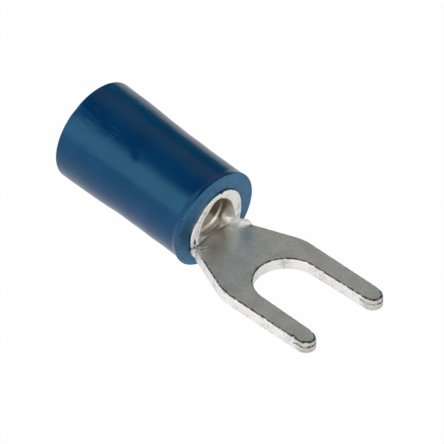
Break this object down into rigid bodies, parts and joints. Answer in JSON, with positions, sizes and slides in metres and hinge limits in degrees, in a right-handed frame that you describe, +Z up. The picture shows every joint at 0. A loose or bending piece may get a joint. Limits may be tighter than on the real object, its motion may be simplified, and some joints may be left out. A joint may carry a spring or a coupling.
{
  "type": "insulated fork terminal",
  "caption": "Crimp fork terminal: a flat forked tongue of tinned copper sheet, rolled into a crimp barrel inside a soft blue insulating sleeve, for a stud terminal.",
  "frame": {"origin": "middle of the overall length and width, on the surface that the sleeve lies on", "axes": "+X from the cable entry to the fork tips, +Y to the side, +Z up out of the tongue's upper face"},
  "size_m": [0.0218, 0.007, 0.0067],
  "materials": {
    "blue_sleeve": "satin",
    "tinned_copper": "satin"
  },
  "bodies": {
    "root": {"insulating_sleeve": "blue_sleeve", "fork_terminal": "tinned_copper"}
  },
  "joints": []
}
